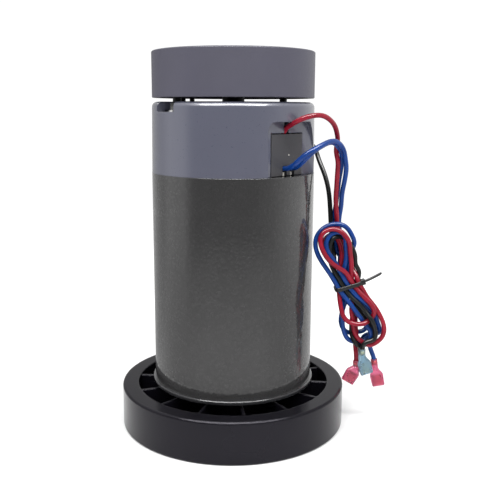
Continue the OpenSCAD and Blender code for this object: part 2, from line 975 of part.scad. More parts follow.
module spade_receptacle(place) {
    half = place[4] / 2 - sleeve_wall - 0.3;
    thick = body_t - 2 * sleeve_wall - 0.3;
    hang(place)
        from_neck(place)
            block_at([-half, -thick / 2, -9.5], [2 * half, thick, 7.5]);
}

module red_terminal() {
    color("palevioletred")
        spade_sleeve(red_hang);
}

module black_terminal() {
    color("lightsteelblue")
        spade_sleeve(black_hang);
}

module blue_terminal_left() {
    color("palevioletred")
        spade_sleeve(blue_left_hang);
}

module blue_terminal_right() {
    color("lightsteelblue")
        spade_sleeve(blue_right_hang);
}

module terminal_receptacles() {
    color("gold")
        for (place = [red_hang, black_hang, blue_left_hang, blue_right_hang])
            spade_receptacle(place);
}

motor_can();
magnet_front();
magnet_back();
front_end_bell();
rear_end_bell();
tie_rods();
tie_rod_nuts();
tie_rod_washers();
brush_block_front();
brush_block_back();
brush_guide_front();
brush_guide_back();
brush_spring_front();
brush_spring_back();
brush_block_screws();
block_pins();
thermal_protector();
front_bearing_outer();
rear_bearing_outer();
wave_washer();
red_lead();
black_lead();
blue_lead_left();
blue_lead_right();
lead_hank();
cable_tie();
red_terminal();
black_terminal();
blue_terminal_left();
blue_terminal_right();
terminal_receptacles();
rotor_shaft();
armature_core();
armature_windings();
commutator_bars();
commutator_hub();
front_bearing_inner();
rear_bearing_inner();
fan_flywheel();
flywheel_key();
drum_flywheel();
drum_washer();
drum_nut();
front_bearing_balls();
front_bearing_cage();
rear_bearing_balls();
rear_bearing_cage();
brush_front();
brush_back();
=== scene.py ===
import json
import math
from collections import namedtuple

import bmesh
import bpy
import numpy as np
from mathutils import Matrix, Vector


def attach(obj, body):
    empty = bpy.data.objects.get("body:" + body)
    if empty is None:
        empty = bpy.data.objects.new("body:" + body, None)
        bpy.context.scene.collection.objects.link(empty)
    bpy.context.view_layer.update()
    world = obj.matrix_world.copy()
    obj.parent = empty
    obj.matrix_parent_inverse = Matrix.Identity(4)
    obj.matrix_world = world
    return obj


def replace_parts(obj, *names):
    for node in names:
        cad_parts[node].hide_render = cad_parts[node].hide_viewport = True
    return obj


# An upright brushed DC motor on its fan flywheel. Lengths are in millimetres where a value is
# multiplied by MM, and otherwise in metres. The front of the motor is -Y.
MM = 0.001

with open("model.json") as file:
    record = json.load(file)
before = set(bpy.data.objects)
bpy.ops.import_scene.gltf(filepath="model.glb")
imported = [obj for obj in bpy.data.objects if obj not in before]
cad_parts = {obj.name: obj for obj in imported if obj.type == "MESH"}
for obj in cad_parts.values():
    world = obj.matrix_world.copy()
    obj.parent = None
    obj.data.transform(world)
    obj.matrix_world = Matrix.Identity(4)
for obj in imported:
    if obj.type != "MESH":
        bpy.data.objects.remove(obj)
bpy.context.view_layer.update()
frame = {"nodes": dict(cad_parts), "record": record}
nodes = frame["nodes"]


# ---------------------------------------------------------------- camera

def aim_camera(location, yaw, pitch, roll, lens):
    """A camera that looks along +Y, turned right by yaw, down by pitch and leaned by roll."""
    right = Vector((math.cos(yaw), -math.sin(yaw), 0))
    ahead = Vector((math.sin(yaw) * math.cos(pitch), math.cos(yaw) * math.cos(pitch), -math.sin(pitch)))
    up = right.cross(ahead)
    leaned = right * math.cos(roll) - up * math.sin(roll)
    up = right * math.sin(roll) + up * math.cos(roll)
    turn = Matrix((leaned, up, -ahead)).transposed()
    data = bpy.data.cameras.new("camera")
    data.lens = lens
    data.sensor_width = 36
    camera = bpy.data.objects.new("camera", data)
    camera.matrix_world = Matrix.Translation(location) @ turn.to_4x4()
    bpy.context.scene.collection.objects.link(camera)
    bpy.context.scene.camera = camera


aim_camera(Vector((0, -0.4575, 0.2021)), yaw=0.0153, pitch=0.1842, roll=-0.0042, lens=53.17)


# ---------------------------------------------------------------- node materials

MATERIALS = {}


def principled(name, color, rough, metallic=0.0, **sockets):
    """A material with one Principled shader; sockets are its input names with _ for spaces."""
    mat = bpy.data.materials.new(name)
    mat.use_nodes = True
    shader = mat.node_tree.nodes["Principled BSDF"]
    shader.inputs["Base Color"].default_value = (*color, 1)
    shader.inputs["Roughness"].default_value = rough
    shader.inputs["Metallic"].default_value = metallic
    for key, value in sockets.items():
        shader.inputs[key.replace("_", " ")].default_value = value
    MATERIALS[name] = mat
    return mat


class Graph:
    """Short calls for adding nodes to a material."""

    def __init__(self, mat):
        self.nodes = mat.node_tree.nodes
        self.links = mat.node_tree.links
        self.shader = self.nodes["Principled BSDF"]
        self.place = self.nodes.new("ShaderNodeTexCoord").outputs["Object"]

    def add(self, kind, **values):
        """A node with its properties, or its inputs by name, set to the values."""
        node = self.nodes.new(kind)
        for key, value in values.items():
            if hasattr(node, key):
                setattr(node, key, value)
            else:
                node.inputs[key.replace("_", " ")].default_value = value
        return node

    def link(self, source, target):
        self.links.new(source, target)

    def calc(self, kind, *terms):
        """One step of arithmetic on numbers or outputs."""
        node = self.add("ShaderNodeMath", operation=kind)
        for socket, term in zip(node.inputs, terms):
            if isinstance(term, (int, float)):
                socket.default_value = term
            else:
                self.link(term, socket)
        return node.outputs[0]

    def stretched(self, x, y, z):
        """The place on the object, scaled along each axis."""
        node = self.add("ShaderNodeMapping", Scale=(x, y, z))
        self.link(self.place, node.inputs["Vector"])
        return node.outputs["Vector"]

    def jittered(self, scale, distance):
        """The place on the object, shifted about by noise."""
        noise = self.add("ShaderNodeTexNoise", Scale=scale, Detail=2.0)
        self.link(self.place, noise.inputs["Vector"])
        shift = self.add("ShaderNodeVectorMath", operation="SCALE", Scale=distance)
        self.link(noise.outputs["Color"], shift.inputs[0])
        total = self.add("ShaderNodeVectorMath", operation="ADD")
        self.link(self.place, total.inputs[0])
        self.link(shift.outputs["Vector"], total.inputs[1])
        return total.outputs["Vector"]

    def noise(self, scale, detail=3.0, rough=0.5, vector=None):
        node = self.add("ShaderNodeTexNoise", Scale=scale, Detail=detail, Roughness=rough)
        self.link(vector or self.place, node.inputs["Vector"])
        return node.outputs["Fac"]

    def soft_cells(self, scale, vector):
        """Distance to the middle of rounded cells."""
        node = self.add("ShaderNodeTexVoronoi", Scale=scale, feature="SMOOTH_F1")
        node.inputs["Smoothness"].default_value = 0.6
        self.link(vector, node.inputs["Vector"])
        return node.outputs["Distance"]

    def ramp(self, source, low, high, a, b):
        """Maps low..high of the source to a..b, smoothly."""
        node = self.add("ShaderNodeMapRange", interpolation_type="SMOOTHSTEP")
        for key, value in zip(("From Min", "From Max", "To Min", "To Max"), (low, high, a, b)):
            node.inputs[key].default_value = value
        self.link(source, node.inputs["Value"])
        return node.outputs["Result"]

    def mix(self, amount, a, b):
        """Between colours a and b, each a colour or an output."""
        node = self.add("ShaderNodeMix", data_type="RGBA")
        self.link(amount, node.inputs[0])
        for socket, value in ((node.inputs[6], a), (node.inputs[7], b)):
            if isinstance(value, tuple):
                socket.default_value = (*value, 1)
            else:
                self.link(value, socket)
        return node.outputs[2]

    def bump(self, height, strength, distance, normal=None):
        """A normal that follows a height, on top of another normal if one is given."""
        node = self.add("ShaderNodeBump", Strength=strength, Distance=distance)
        self.link(height, node.inputs["Height"])
        if normal:
            self.link(normal, node.inputs["Normal"])
        return node.outputs["Normal"]

    def soft_edges(self, radius):
        """A normal that rounds the sharp edges by this radius."""
        node = self.add("ShaderNodeBevel", Radius=radius)
        node.samples = 4
        return node.outputs["Normal"]

    def finish(self, color=None, rough=None, normal=None, coat=None):
        """Feeds the shader; a coat without its own normal follows the surface's."""
        for output, name in ((color, "Base Color"), (rough, "Roughness"), (normal, "Normal"),
                             (coat or normal, "Coat Normal")):
            if output:
                self.link(output, self.shader.inputs[name])


def shade(color, factor):
    return tuple(min(1.0, v * factor) for v in color)


def worn(name, color, rough, metallic=0.0, grain=900, spread=0.16, bump=0.12, blotch=35, edge=None,
         **sockets):
    """Fine grain and broad tone changes over one colour: castings, mouldings and plain paint."""
    graph = Graph(principled(name, color, rough, metallic, **sockets))
    fine = graph.noise(grain, detail=4, rough=0.6)
    broad = graph.noise(blotch, detail=2)
    tone = graph.mix(graph.ramp(broad, 0.3, 0.7, 0, 1), shade(color, 1 - spread), shade(color, 1 + spread))
    gloss = graph.ramp(fine, 0.3, 0.7, rough * 0.85, min(1, rough * 1.15))
    rounded = graph.soft_edges(edge) if edge else None
    graph.finish(tone, gloss, graph.bump(fine, bump, 0.0001, rounded))


def hammered(name, color, rough, dimple=520, depth=0.5, edge=0.0005, **sockets):
    """Hammer-finish paint: small soft dimples with darker valleys under a gloss."""
    graph = Graph(principled(name, color, rough, **sockets))
    cell = graph.soft_cells(dimple, graph.jittered(420.0, 0.0012))
    broad = graph.noise(60, detail=2)
    speck = graph.mix(graph.ramp(cell, 0.15, 0.6, 0, 1), shade(color, 1.16), shade(color, 0.8))
    tone = graph.mix(graph.ramp(broad, 0.35, 0.65, 0, 0.25), speck, shade(color, 1.12))
    rounded = graph.soft_edges(edge)
    graph.finish(tone, graph.ramp(cell, 0.2, 0.7, rough * 0.9, rough * 1.3),
                 graph.bump(cell, depth, 0.0002, rounded), graph.bump(cell, depth * 0.3, 0.0002, rounded))


def brushed(name, color, rough, along=(40, 40, 900)):
    """Turned or brushed metal, its scratches squeezed along one axis."""
    graph = Graph(principled(name, color, rough, metallic=1.0))
    lines = graph.noise(1.0, detail=5, rough=0.7, vector=graph.stretched(*along))
    tone = graph.mix(graph.ramp(lines, 0.25, 0.75, 0, 1), shade(color, 0.8), shade(color, 1.15))
    graph.finish(tone, graph.ramp(lines, 0.3, 0.7, rough * 0.75, rough * 1.35),
                 graph.bump(lines, 0.1, 0.0001))


def insulation(name, color, rough=0.32):
    """PVC wire cover: silky, with faint drag marks."""
    graph = Graph(principled(name, color, rough, Coat_Weight=0.35, Coat_Roughness=0.12,
                             Specular_IOR_Level=0.15))
    fine = graph.noise(1400, detail=3)
    broad = graph.noise(120, detail=2)
    tone = graph.mix(graph.ramp(broad, 0.35, 0.65, 0, 1), shade(color, 0.86), shade(color, 1.1))
    graph.finish(tone, graph.ramp(fine, 0.3, 0.7, rough * 0.8, rough * 1.3), graph.bump(fine, 0.05, 0.0001))


def clear_vinyl(name, color, rough=0.3):
    """Half-clear vinyl of a terminal's sleeve."""
    graph = Graph(principled(name, color, rough, Transmission_Weight=0.78, IOR=1.38))
    broad = graph.noise(260, detail=2)
    tone = graph.mix(graph.ramp(broad, 0.35, 0.65, 0, 1), shade(color, 0.92), shade(color, 1.08))
    graph.finish(tone, graph.ramp(broad, 0.3, 0.7, rough * 0.85, rough * 1.2),
                 graph.bump(broad, 0.08, 0.0003))


hammered("can_paint", (0.025, 0.0245, 0.025), 0.3, Coat_Weight=1.0, Coat_Roughness=0.06,
         Specular_IOR_Level=0.3)
worn("ferrite", (0.035, 0.035, 0.038), 0.7)
worn("flange_metal", (0.022, 0.022, 0.024), 0.2, bump=0.03, edge=0.0012, Coat_Weight=1.0,
     Coat_Roughness=0.05)
worn("bell_paint", (0.070, 0.073, 0.103), 0.32, spread=0.02, bump=0.008, blotch=45, edge=0.0008,
     Coat_Weight=0.9, Coat_Roughness=0.1)
worn("dark_steel", (0.008, 0.008, 0.009), 0.4, metallic=0.4)
brushed("plated_steel", (0.75, 0.75, 0.74), 0.2)
worn("block_plastic", (0.040, 0.039, 0.044), 0.5, grain=1600, spread=0.08, edge=0.0006)
brushed("brass", (0.75, 0.55, 0.25), 0.3)
brushed("steel", (0.6, 0.6, 0.62), 0.22)
worn("pin_plastic", (0.6, 0.58, 0.52), 0.5)
worn("protector_shell", (0.02, 0.02, 0.02), 0.45)
insulation("red_insulation", (0.23, 0.004, 0.018))
insulation("black_insulation", (0.006, 0.007, 0.007), 0.36)
insulation("blue_insulation", (0.002, 0.035, 0.19))
worn("tie_nylon", (0.008, 0.008, 0.009), 0.35, edge=0.0003)
clear_vinyl("pink_sleeve", (0.62, 0.13, 0.24))
clear_vinyl("pale_blue_sleeve", (0.34, 0.5, 0.6))
worn("shaft_steel", (0.012, 0.012, 0.013), 0.4, metallic=0.3)
brushed("laminations", (0.25, 0.25, 0.26), 0.45, along=(30, 30, 2600))
worn("enamelled_copper", (0.35, 0.1, 0.03), 0.3, metallic=0.3, grain=500)
brushed("copper", (0.75, 0.35, 0.2), 0.3)
worn("phenolic", (0.06, 0.025, 0.012), 0.4)
worn("flywheel_iron", (0.0045, 0.0041, 0.0063), 0.2, grain=500, spread=0.1, bump=0.03, edge=0.0013,
     Specular_IOR_Level=0.19, Specular_Tint=(0.93, 0.9, 1, 1))
worn("drum_paint", (0.055, 0.053, 0.077), 0.42, grain=1300, spread=0.03, bump=0.05, edge=0.0006,
     Specular_IOR_Level=0.45)
worn("carbon", (0.015, 0.015, 0.016), 0.6)

for part in frame["record"]["subparts"]:
    node = nodes[part["node"]]
    node.data.materials.clear()
    node.data.materials.append(MATERIALS[part["material_slot"]])


# ---------------------------------------------------------------- routes of the leads

LEAD_D = 3.0 * MM
# The hank's own directions start in the tie. The hank leans, with its foot to the right
TIE = Vector((72.8, -14.0, 93.0)) * MM
TILT = math.radians(17.5)
ACROSS = Vector((math.cos(TILT), 0, math.sin(TILT)))
ALONG = Vector((-math.sin(TILT), 0, math.cos(TILT)))
# Wires in the tie lie in columns across it and in three layers, a little over a diameter apart
PITCH = 3.15
FRONT, MIDDLE, BACK = -1, 0, 1

# Each wire, in millimetres. `route` leads from its brush block to the hank, and `entry` into the
# hank. `places` are the column and layer of each pass through the tie, and `folds` the loops
# between them: reach up the hank or, if negative, down it, width to the right, width to the left,
# and depth. `leave` leads out of the tie, and `tail` down into the terminal. `exit` is where the
# brush block lets the wire go.
WIRES = {
    "red_wire": dict(
        node="red_lead", terminal="red_spade", finish="red_insulation", exit=(30.8, -31.5, 191.4),
        route=[(29, -29, 187.6), (30, -30, 189.6), (30.8, -31.5, 191.4), (33, -35, 193.4), (38, -39, 196.5),
               (44, -40.5, 198.6), (51, -37, 199), (57, -31, 196), (61, -25, 191), (63, -20, 183),
               (64, -17, 174), (64, -15, 165), (64, -13, 156), (64, -11, 147), (65, -9, 139), (66, -8, 131)],
        entry=[(4, 24, 5), (5.2, 12, 1.5)],
        places=[(2, FRONT), (1, MIDDLE), (1, FRONT), (-2, MIDDLE), (1, BACK)],
        folds=[(-41, 9, 8.5, -1), (39, 2.5, 14, -4), (-25, 11, 3.5, -4), (33.5, 7, 7.5, 3)],
        leave=[],
        tail=[(77, -11, 80), (78.5, -11.5, 70), (79, -12, 62), (79.5, -12.3, 54), (79.8, -12.4, 47),
              (80, -12.4, 42.5), (80.1, -12.4, 39)]),
    "blue_left_wire": dict(
        node="blue_lead_left", terminal="blue_left_spade", finish="blue_insulation", exit=(30.5, -32.5, 168),
        route=[(28, -30.2, 168), (31.5, -33.6, 168.2), (35, -37.6, 170.4), (39, -40.8, 174.6), (45, -42, 179),
               (51, -39, 182), (57, -33, 184), (62, -27, 183), (66, -21, 178), (69, -17, 169),
               (69, -13, 160), (68, -10, 151), (68, -7, 142), (67, -6, 133)],
        entry=[(3, 24, 6), (-1, 12, 4)],
        places=[(-1, BACK), (0, MIDDLE), (-2, FRONT)],
        folds=[(-33.5, 10.5, 10, 2), (41, 13, 7.5, -1)],
        leave=[(-3.5, -7, -4.5), (-0.5, -16, -5), (3, -26, -4), (5.5, -36, -2)],
        tail=[(87, -14, 56), (89.5, -13.2, 49), (91.4, -12.6, 43.6), (92, -12.6, 40)]),
    "blue_right_wire": dict(
        node="blue_lead_right", terminal="blue_right_spade", finish="blue_insulation",
        exit=(34.5, -27.2, 168),
        route=[(32.8, -25.5, 168), (36.3, -28.8, 168.2), (40.2, -34, 171.6), (45.5, -38.4, 177.8),
               (51.3, -35.8, 181.4), (57, -30, 183.4), (61.6, -24, 182.2), (65, -18, 177),
               (66.6, -13.5, 169), (66, -9.5, 160), (65.6, -6.5, 151), (65, -4.5, 142), (64, -4, 133)],
        entry=[(1, 24, 7), (1, 12, 4)],
        places=[(0, BACK), (-1, MIDDLE), (0, FRONT)],
        folds=[(-39, 11, 8, 0), (36, 9.5, 5, -2)],
        leave=[(4, -8, -4), (9.5, -18, -3), (11.5, -28, -1), (8.5, -37, 2)],
        tail=[(85.6, -8, 58), (84.6, -6, 53), (84, -5.4, 50), (84.2, -5.5, 46.5)]),
    "black_wire": dict(
        node="black_lead", terminal="black_spade", finish="black_insulation", exit=(-31, 31.5, 190.5),
        route=[(-29, 29, 187.6), (-30, 30, 189.8), (-33, 34.5, 192), (-37, 42, 190), (-35, 49, 187),
               (-27, 54, 184), (-17, 57, 181), (-6, 59, 179), (6, 59, 178), (18, 57, 178),
               (29, 52, 179), (39, 44, 180), (47, 33, 181), (51, 21, 180), (53, 10, 177),
               (55, 4, 170), (58, 0, 162), (60, -3, 154), (61, -5, 146), (62, -6, 132)],
        entry=[(-2, 24, 6), (-5, 12, 4)],
        places=[(-2, BACK), (2, MIDDLE), (-1, FRONT)],
        folds=[(-42, 10, 9, 0), (33, 4.5, 5, -1)],
        leave=[(1.5, -10, -5), (6, -20, -6), (8, -30, -6), (6, -38, -4)],
        tail=[(84.3, -17.3, 57), (83, -17.7, 53.5), (82.6, -17.8, 51), (82.8, -17.8, 48)]),
}


def in_hank(side, along, depth):
    """A point of the hank, in millimetres from its tie: across it, up along it, and back."""
    return TIE + (ACROSS * side + ALONG * along + Vector((0, depth, 0))) * MM


def fold(start, end, reach, right, left, depth, steps=16):
    """One fold of a wire: out of the tie, round a teardrop loop, and back to the tie."""
    peak = 0.65  # the largest value that sin(turn) * swell takes
    points = []
    for i in range(2, steps - 1):  # the ends are left to the points in the tie
        u = i / steps
        turn = 2 * math.pi * i / steps
        ease = u * u * (3 - 2 * u)
        swell = (1 - math.cos(turn)) / 2
        width = (right + left) / 2 * math.sin(turn) * swell / peak
        side = start[0] + (end[0] - start[0]) * ease + width + (right - left) / 2 * swell
        back = start[1] + (end[1] - start[1]) * ease + depth * min(1, swell * 1.6)
        points.append(in_hank(side, reach * swell, back))
    return points


def wire_path(wire):
    """The points of one wire, from its brush block through the hank to its terminal."""
    places = [(column * PITCH, layer * PITCH) for column, layer in wire["places"]]
    path = [Vector(p) * MM for p in wire["route"]] + [in_hank(*p) for p in wire["entry"]]
    path.append(in_hank(places[0][0], 0, places[0][1]))
    for start, end, loop in zip(places, places[1:], wire["folds"]):
        path += fold(start, end, *loop)
        path.append(in_hank(end[0], 0, end[1]))
    return path + [in_hank(*p) for p in wire["leave"]] + [Vector(p) * MM for p in wire["tail"]]


def smooth_line(points, step=1.0 * MM, cuts=12):
    """A centripetal Catmull-Rom curve through the points, cut into equal steps."""
    p = [np.array(v, float) for v in points]
    p = [2 * p[0] - p[1]] + p + [2 * p[-1] - p[-2]]
    line = []
    for p0, p1, p2, p3 in zip(p, p[1:], p[2:], p[3:]):
        t0 = 0.0
        t1 = t0 + np.linalg.norm(p1 - p0) ** 0.5
        t2 = t1 + np.linalg.norm(p2 - p1) ** 0.5
        t3 = t2 + np.linalg.norm(p3 - p2) ** 0.5
        for t in np.linspace(t1, t2, cuts, endpoint=False):
            a1 = ((t1 - t) * p0 + (t - t0) * p1) / (t1 - t0)
            a2 = ((t2 - t) * p1 + (t - t1) * p2) / (t2 - t1)
            a3 = ((t3 - t) * p2 + (t - t2) * p3) / (t3 - t2)
            b1 = ((t2 - t) * a1 + (t - t0) * a2) / (t2 - t0)
            b2 = ((t3 - t) * a2 + (t - t1) * a3) / (t3 - t1)
            line.append(((t2 - t) * b1 + (t - t1) * b2) / (t2 - t1))
    line = np.array(line + [p[-2]])
    length = np.concatenate([[0], np.cumsum(np.linalg.norm(np.diff(line, axis=0), axis=1))])
    even = np.linspace(0, length[-1], int(round(length[-1] / step)) + 1)
    return np.stack([np.interp(even, length, line[:, k]) for k in range(3)], 1)


# How wires that lie in each other are pushed apart. Counts are of points, 1 mm from each other
ROUNDS = 120
ROUNDS_PER_SEARCH = 15
APART = LEAD_D * 1.02
SEARCH_REACH = LEAD_D * 1.5
PUSH = 0.35
SMOOTHING = 0.5
NEIGHBOURS = 6
HELD_AT_START = 12
HELD_AT_END = 6


def close_pairs(points, wire, place):
    """Index pairs of points that lie near each other and aren't neighbours on one wire."""
    batch = 400
    found = []
    for i in range(0, len(points), batch):
        gap = np.linalg.norm(points[i:i + batch, None] - points[None], axis=2)
        a, b = np.nonzero(gap < SEARCH_REACH)
        a = a + i
        keep = (a < b) & ((wire[a] != wire[b]) | (abs(place[a] - place[b]) > NEIGHBOURS))
        found.append(np.stack([a[keep], b[keep]], 1))
    return np.concatenate(found)


def settle(lines):
    """Pushes wires that lie in each other apart, and keeps each one smooth."""
    wire = np.concatenate([[k] * len(line) for k, line in enumerate(lines)])
    place = np.concatenate([np.arange(len(line)) for line in lines])
    last = np.concatenate([[len(line) - 1] * len(line) for line in lines])
    free = ((place >= HELD_AT_START) & (place <= last - HELD_AT_END))[:, None]
    ends = np.cumsum([0] + [len(line) for line in lines])
    points = np.concatenate(lines)
    for turn in range(ROUNDS):
        if turn % ROUNDS_PER_SEARCH == 0:
            pairs = close_pairs(points, wire, place)
        gap = points[pairs[:, 0]] - points[pairs[:, 1]]
        size = np.linalg.norm(gap, axis=1) + 1e-9
        near = size < APART
        push = gap[near] * ((APART - size[near]) / size[near] * PUSH)[:, None]
        move = np.zeros_like(points)
        count = np.zeros(len(points))
        for column, sign in ((0, 1), (1, -1)):
            np.add.at(move, pairs[near, column], sign * push)
            np.add.at(count, pairs[near, column], 1)
        points = points + move / np.maximum(count, 1)[:, None] * free
        for a, b in zip(ends, ends[1:]):
            line = points[a:b]
            pull = np.zeros_like(line)
            pull[1:-1] = (line[:-2] + line[2:]) / 2 - line[1:-1]
            calm = pull.copy()
            calm[1:-1] = (pull[:-2] + pull[2:]) / 2
            points[a:b] = line + SMOOTHING * (pull - calm) * free[a:b]
    return [points[a:b] for a, b in zip(ends, ends[1:])]


def wire_curve(name, line, material):
    """A round wire along a line of points."""
    data = bpy.data.curves.new(name, "CURVE")
    data.dimensions = "3D"
    data.bevel_depth = LEAD_D / 2
    data.bevel_resolution = 4
    data.use_fill_caps = True
    spline = data.splines.new("POLY")
    spline.points.add(len(line) - 1)
    spline.points.foreach_set("co", np.concatenate([line, np.ones((len(line), 1))], 1).ravel())
    spline.use_smooth = True
    piece = bpy.data.objects.new(name, data)
    data.materials.append(material)
    bpy.context.scene.collection.objects.link(piece)
    return piece


# ---------------------------------------------------------------- small mesh pieces

def mesh_piece(name, bm, finish, soften=None):
    """Makes an object from a bmesh, gives it its finish and lets it ride on the stator."""
    bmesh.ops.recalc_face_normals(bm, faces=bm.faces[:])
    data = bpy.data.meshes.new(name)
    bm.to_mesh(data)
    bm.free()
    for face in data.polygons:
        face.use_smooth = True
    piece = bpy.data.objects.new(name, data)
    bpy.context.scene.collection.objects.link(piece)
    data.materials.append(MATERIALS[finish])
    if soften:
        bevel = piece.modifiers.new("soft edges", "BEVEL")
        bevel.width = soften
        bevel.segments = 3
        bevel.limit_method = "ANGLE"
        bevel.angle_limit = math.radians(40)
    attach(piece, "stator")
    return piece


def skin(bm, rings, closed=True):
    """Joins rings of points, all of one count, into a skin, closed at both ends or open."""
    rows = [[bm.verts.new(p) for p in ring] for ring in rings]
    count = len(rows[0])
    for a, b in zip(rows, rows[1:]):
        for k in range(count):
            bm.faces.new((a[k], a[(k + 1) % count], b[(k + 1) % count], b[k]))
    if closed:
        bm.faces.new(rows[0][::-1])
        bm.faces.new(rows[-1])


def oval(width, depth, power, count=32):
    """Points of a rounded rectangle: power 1 is an ellipse, and a small power is nearly square."""
    points = []
    for k in range(count):
        turn = 2 * math.pi * (k + 0.5) / count
        c, s = math.cos(turn), math.sin(turn)
        points.append((width * math.copysign(abs(c) ** power, c), depth * math.copysign(abs(s) ** power, s)))
    return points


# ---------------------------------------------------------------- spade terminals

BARREL_R = 2.1
BODY_T = 3.4
BODY_LEN = 11.5
WALL = 0.55

# `entry` is where the wire goes in, in millimetres. `lean` and `forward` tip the barrel to the
# right and to the front, `turn` turns the terminal on its own axis, and `bend` bends its neck,
# all in degrees
Terminal = namedtuple("Terminal", "entry lean forward turn width barrel bend finish node")
TERMINALS = {
    "red_spade": Terminal((80, -12.4, 42.4), lean=2, forward=0, turn=12, width=9, barrel=4.2, bend=-34,
                          finish="pink_sleeve", node="red_terminal"),
    "blue_left_spade": Terminal((91.4, -12.6, 43.6), lean=9, forward=0, turn=-8, width=8.4, barrel=6.8,
                                bend=4, finish="pink_sleeve", node="blue_terminal_left"),
    "black_spade": Terminal((82.6, -17.8, 52), lean=3, forward=0, turn=6, width=8.6, barrel=5.5, bend=14,
                            finish="pale_blue_sleeve", node="black_terminal"),
    "blue_right_spade": Terminal((84, -5.4, 50), lean=5, forward=-4, turn=20, width=8.4, barrel=5.5,
                                 bend=0, finish="pale_blue_sleeve", node="blue_terminal_right"),
}


def turned(axis, degrees):
    return Matrix.Rotation(math.radians(degrees), 4, axis)


def barrel_frame(spade):
    return Matrix.Translation(spade.entry) @ turned("Y", -spade.lean) @ turned("X", spade.forward)


def body_frame(spade):
    """The frame of the flat body, which starts below the neck."""
    neck = barrel_frame(spade) @ Matrix.Translation((0, 0, -spade.barrel))
    return neck @ turned("Z", spade.turn) @ turned("Y", -spade.bend)


def placed_ring(matrix, points, z):
    return [(matrix @ Vector((x, y, z))) * MM for x, y in points]


def spade_sleeve(name, spade):
    """The moulded sleeve: a round barrel that flows into a flat body with an open mouth."""
    barrel = barrel_frame(spade) @ turned("Z", spade.turn)
    body = body_frame(spade)
    half = spade.width / 2
    # Barrel, from inside its hole over its rim and down: height and radius
    round_part = ((-3.2, 1.5), (-0.3, 1.5), (0, 1.65), (0, 1.9), (-0.3, BARREL_R), (-1.6, BARREL_R),
                  (0.5 - spade.barrel, BARREL_R - 0.1))
    # Outside of the body: height, share of the half width, half thickness, and squareness
    outside = ((-0.4, 0.52, 2.15, 0.95), (-1.4, 0.62, 2.05, 0.8), (-2.6, 0.82, 1.9, 0.6),
               (-3.8, 0.97, 1.76, 0.4), (-5, 1.02, 1.7, 0.34), (-8, 0.98, 1.66, 0.34),
               (-BODY_LEN + 0.5, 0.95, 1.66, 0.34), (-BODY_LEN, 0.92, 1.56, 0.34))
    # Mouth, from its edge inwards: height, half width and half thickness
    inside = ((-BODY_LEN + 0.1, half * 0.92 - WALL, BODY_T / 2 - WALL),
              (-BODY_LEN + 4, half * 0.96 - WALL, 1.1), (-4, half * 0.9 - WALL, 1.0))
    rings = [placed_ring(barrel, oval(r, r, 1), z) for z, r in round_part]
    rings += [placed_ring(body, oval(half * wide, deep, power), z) for z, wide, deep, power in outside]
    rings += [placed_ring(body, oval(wide, deep, 0.3), z) for z, wide, deep in inside]
    bm = bmesh.new()
    skin(bm, rings)
    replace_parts(mesh_piece(name, bm, spade.finish), spade.node)


def spade_metal(name, spade):
    """The crimped metal inside a sleeve: a plate with rolled sides, and a crimp round the wire."""
    side = spade.width / 2 - WALL - 1.15
    rolled = ((2.1, 0.35), (1.1, 0.75), (0.25, 0.5), (0, -0.1), (0.3, -0.62), (1.2, -0.72))
    left = [(-side + x, y) for x, y in rolled]
    outer = left + [(-x, y) for x, y in left[::-1]]
    loop = outer + [(x * 0.93, y * 0.62) for x, y in outer[::-1]]
    # Crimp, from its top edge down: height, radius, and how flat it is pressed
    crimp = ((-1.2, 1.55, 1), (-1.2, 1.8, 1), (-2.6, 1.8, 0.9), (-3.8, 1.75, 0.8), (-3.8, 1.5, 0.8))
    bm = bmesh.new()
    skin(bm, [placed_ring(body_frame(spade), loop, z) for z in (-4.3, -6, -8.2, -10.6)])
    skin(bm, [placed_ring(barrel_frame(spade), oval(r, r * flat, 1, 24), z) for z, r, flat in crimp],
         closed=False)
    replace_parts(mesh_piece(name, bm, "brass"), "terminal_receptacles")


for name, spade in TERMINALS.items():
    spade_sleeve(name, spade)
    spade_metal(name + "_metal", spade)


# ---------------------------------------------------------------- small pale dot on the front block

# The front brush block faces this far to the right of the front
BLOCK_TURN = math.radians(46)
# Where the small pale dome sits on the block: across to the right, and height, in millimetres
DOT_ACROSS = 1.7
DOT_Z = 175.9


def block_point(out, across, z):
    """A point by the front brush block: outwards from the axis, across to the right, and height."""
    return Vector((out * math.sin(BLOCK_TURN) + across * math.cos(BLOCK_TURN),
                   -out * math.cos(BLOCK_TURN) + across * math.sin(BLOCK_TURN), z)) * MM


# A small pale dome on the front brush block
bm = bmesh.new()
skin(bm, [[block_point(out, DOT_ACROSS + x, DOT_Z + y) for x, y in oval(r, r, 1, 20)]
          for out, r in ((43.9, 0.42), (44.05, 0.42), (44.15, 0.34), (44.2, 0.2))])
mesh_piece("pale_dot", bm, "pin_plastic")


# ---------------------------------------------------------------- cable tie

# In millimetres: half the inside width and depth of the band, the tail's width and thickness,
# and how far the head's middle lies in front of the tie's
BAND_SIDE = 8.15
BAND_DEEP = 4.9
TAIL_W = 2.3
TAIL_T = 1.25
HEAD_FRONT = 2.6


def tie_band(bm):
    """A flat strap round the bundle, its edges a little rounded."""
    # Section of the strap: along the hank and outwards
    profile = [(-1.25, 0.15), (-1.0, 0.0), (1.0, 0.0), (1.25, 0.15), (1.25, 0.85), (1.0, 1.0), (-1.0, 1.0),
               (-1.25, 0.85)]
    rows = []
    for side, deep in oval(BAND_SIDE, BAND_DEEP, 0.42, count=48):
        outward = Vector((side / BAND_SIDE ** 2, deep / BAND_DEEP ** 2, 0)).normalized()
        rows.append([bm.verts.new(in_hank(side + outward.x * out, along, deep + outward.y * out))
                     for along, out in profile])
    for row, other in zip(rows, rows[1:] + rows[:1]):
        for j in range(len(profile)):
            i = (j + 1) % len(profile)
            bm.faces.new((row[j], row[i], other[i], other[j]))


